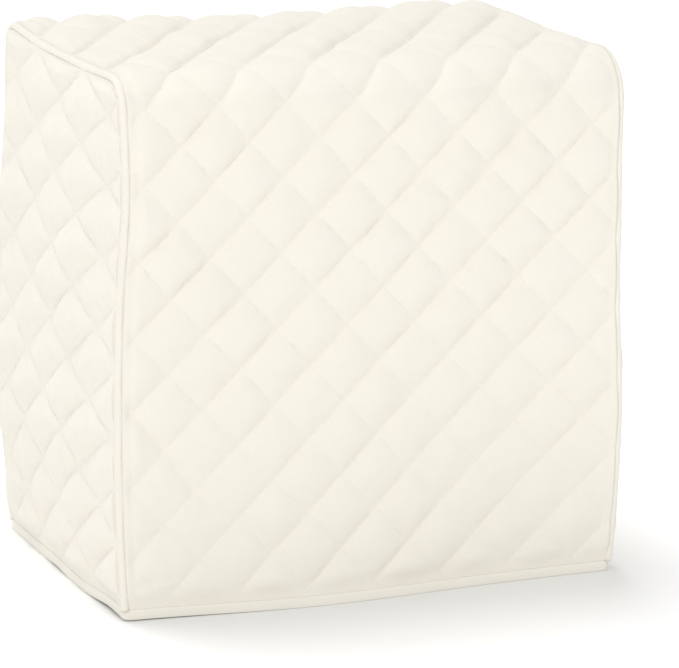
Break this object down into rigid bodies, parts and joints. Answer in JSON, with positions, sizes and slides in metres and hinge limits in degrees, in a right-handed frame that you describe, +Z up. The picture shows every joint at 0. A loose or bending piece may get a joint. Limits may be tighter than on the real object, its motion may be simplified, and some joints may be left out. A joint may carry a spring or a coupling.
{
  "type": "quilted appliance cover",
  "caption": "Box-shaped fitted cover in diamond-quilted cream cotton with piped side seams and a bound hem, open underneath to slip over a tall kitchen appliance.",
  "frame": {"origin": "on the surface that the hem stands on, under the middle of the cover", "axes": "+X to the right, +Y to the back, +Z up; the front and back walls face -Y and +Y"},
  "size_m": [0.386, 0.2594, 0.3751],
  "materials": {
    "quilted_cotton": "matt cream cotton with stitched diamond quilting",
    "bias_trim": "matt cream cotton bias strip"
  },
  "bodies": {
    "root": {"body_strip": "quilted_cotton", "side_panel_left": "quilted_cotton", "side_panel_right": "quilted_cotton", "piping_left": "bias_trim", "piping_right": "bias_trim", "hem_binding": "bias_trim"}
  },
  "joints": []
}
